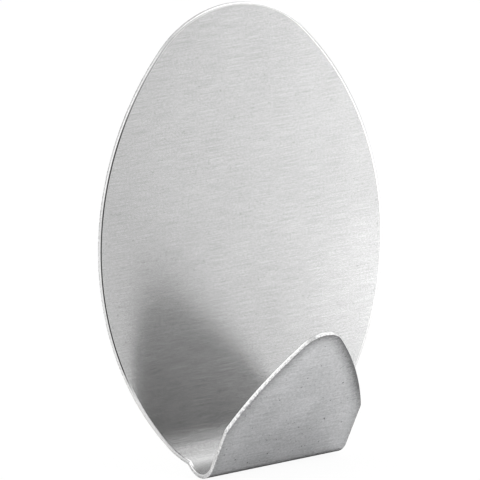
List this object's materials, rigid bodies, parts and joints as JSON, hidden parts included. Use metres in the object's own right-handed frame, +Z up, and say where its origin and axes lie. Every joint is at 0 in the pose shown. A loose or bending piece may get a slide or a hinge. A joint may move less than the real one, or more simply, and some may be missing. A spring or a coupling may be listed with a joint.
{
  "type": "adhesive wall hook",
  "caption": "Self-adhesive wall hook: a brushed steel oval whose foot folds forward into a leaning, round-tipped tongue, on a thin foam pad with a lift-off release liner.",
  "frame": {"origin": "centre of the oval plate, on the wall's plane, which is the rear face of the rear adhesive; the release liner, while it is still on, lies 0.1 mm past that plane", "axes": "+Z up the plate, +Y into the wall, +X to the right for someone who faces the wall"},
  "size_m": [0.047, 0.0241, 0.0672],
  "materials": {
    "steel": "stainless sheet with a fine brush across the plate, bare punched edges",
    "foam": "white closed-cell foam, cut edge open to view",
    "adhesive": "clear tacky coat with a slightly yellow cast",
    "liner": "thin silicone-coated paper, smooth with a low sheen"
  },
  "bodies": {
    "hook": {"hook_plate": "steel", "front_adhesive": "adhesive", "foam_core": "foam", "rear_adhesive": "adhesive"},
    "liner": {"release_liner": "liner"}
  },
  "joints": [
    {"name": "liner_lift", "type": "slide", "parent": "hook", "child": "liner", "axis": [0, 1, 0], "range_m": [0, 0.03]}
  ]
}
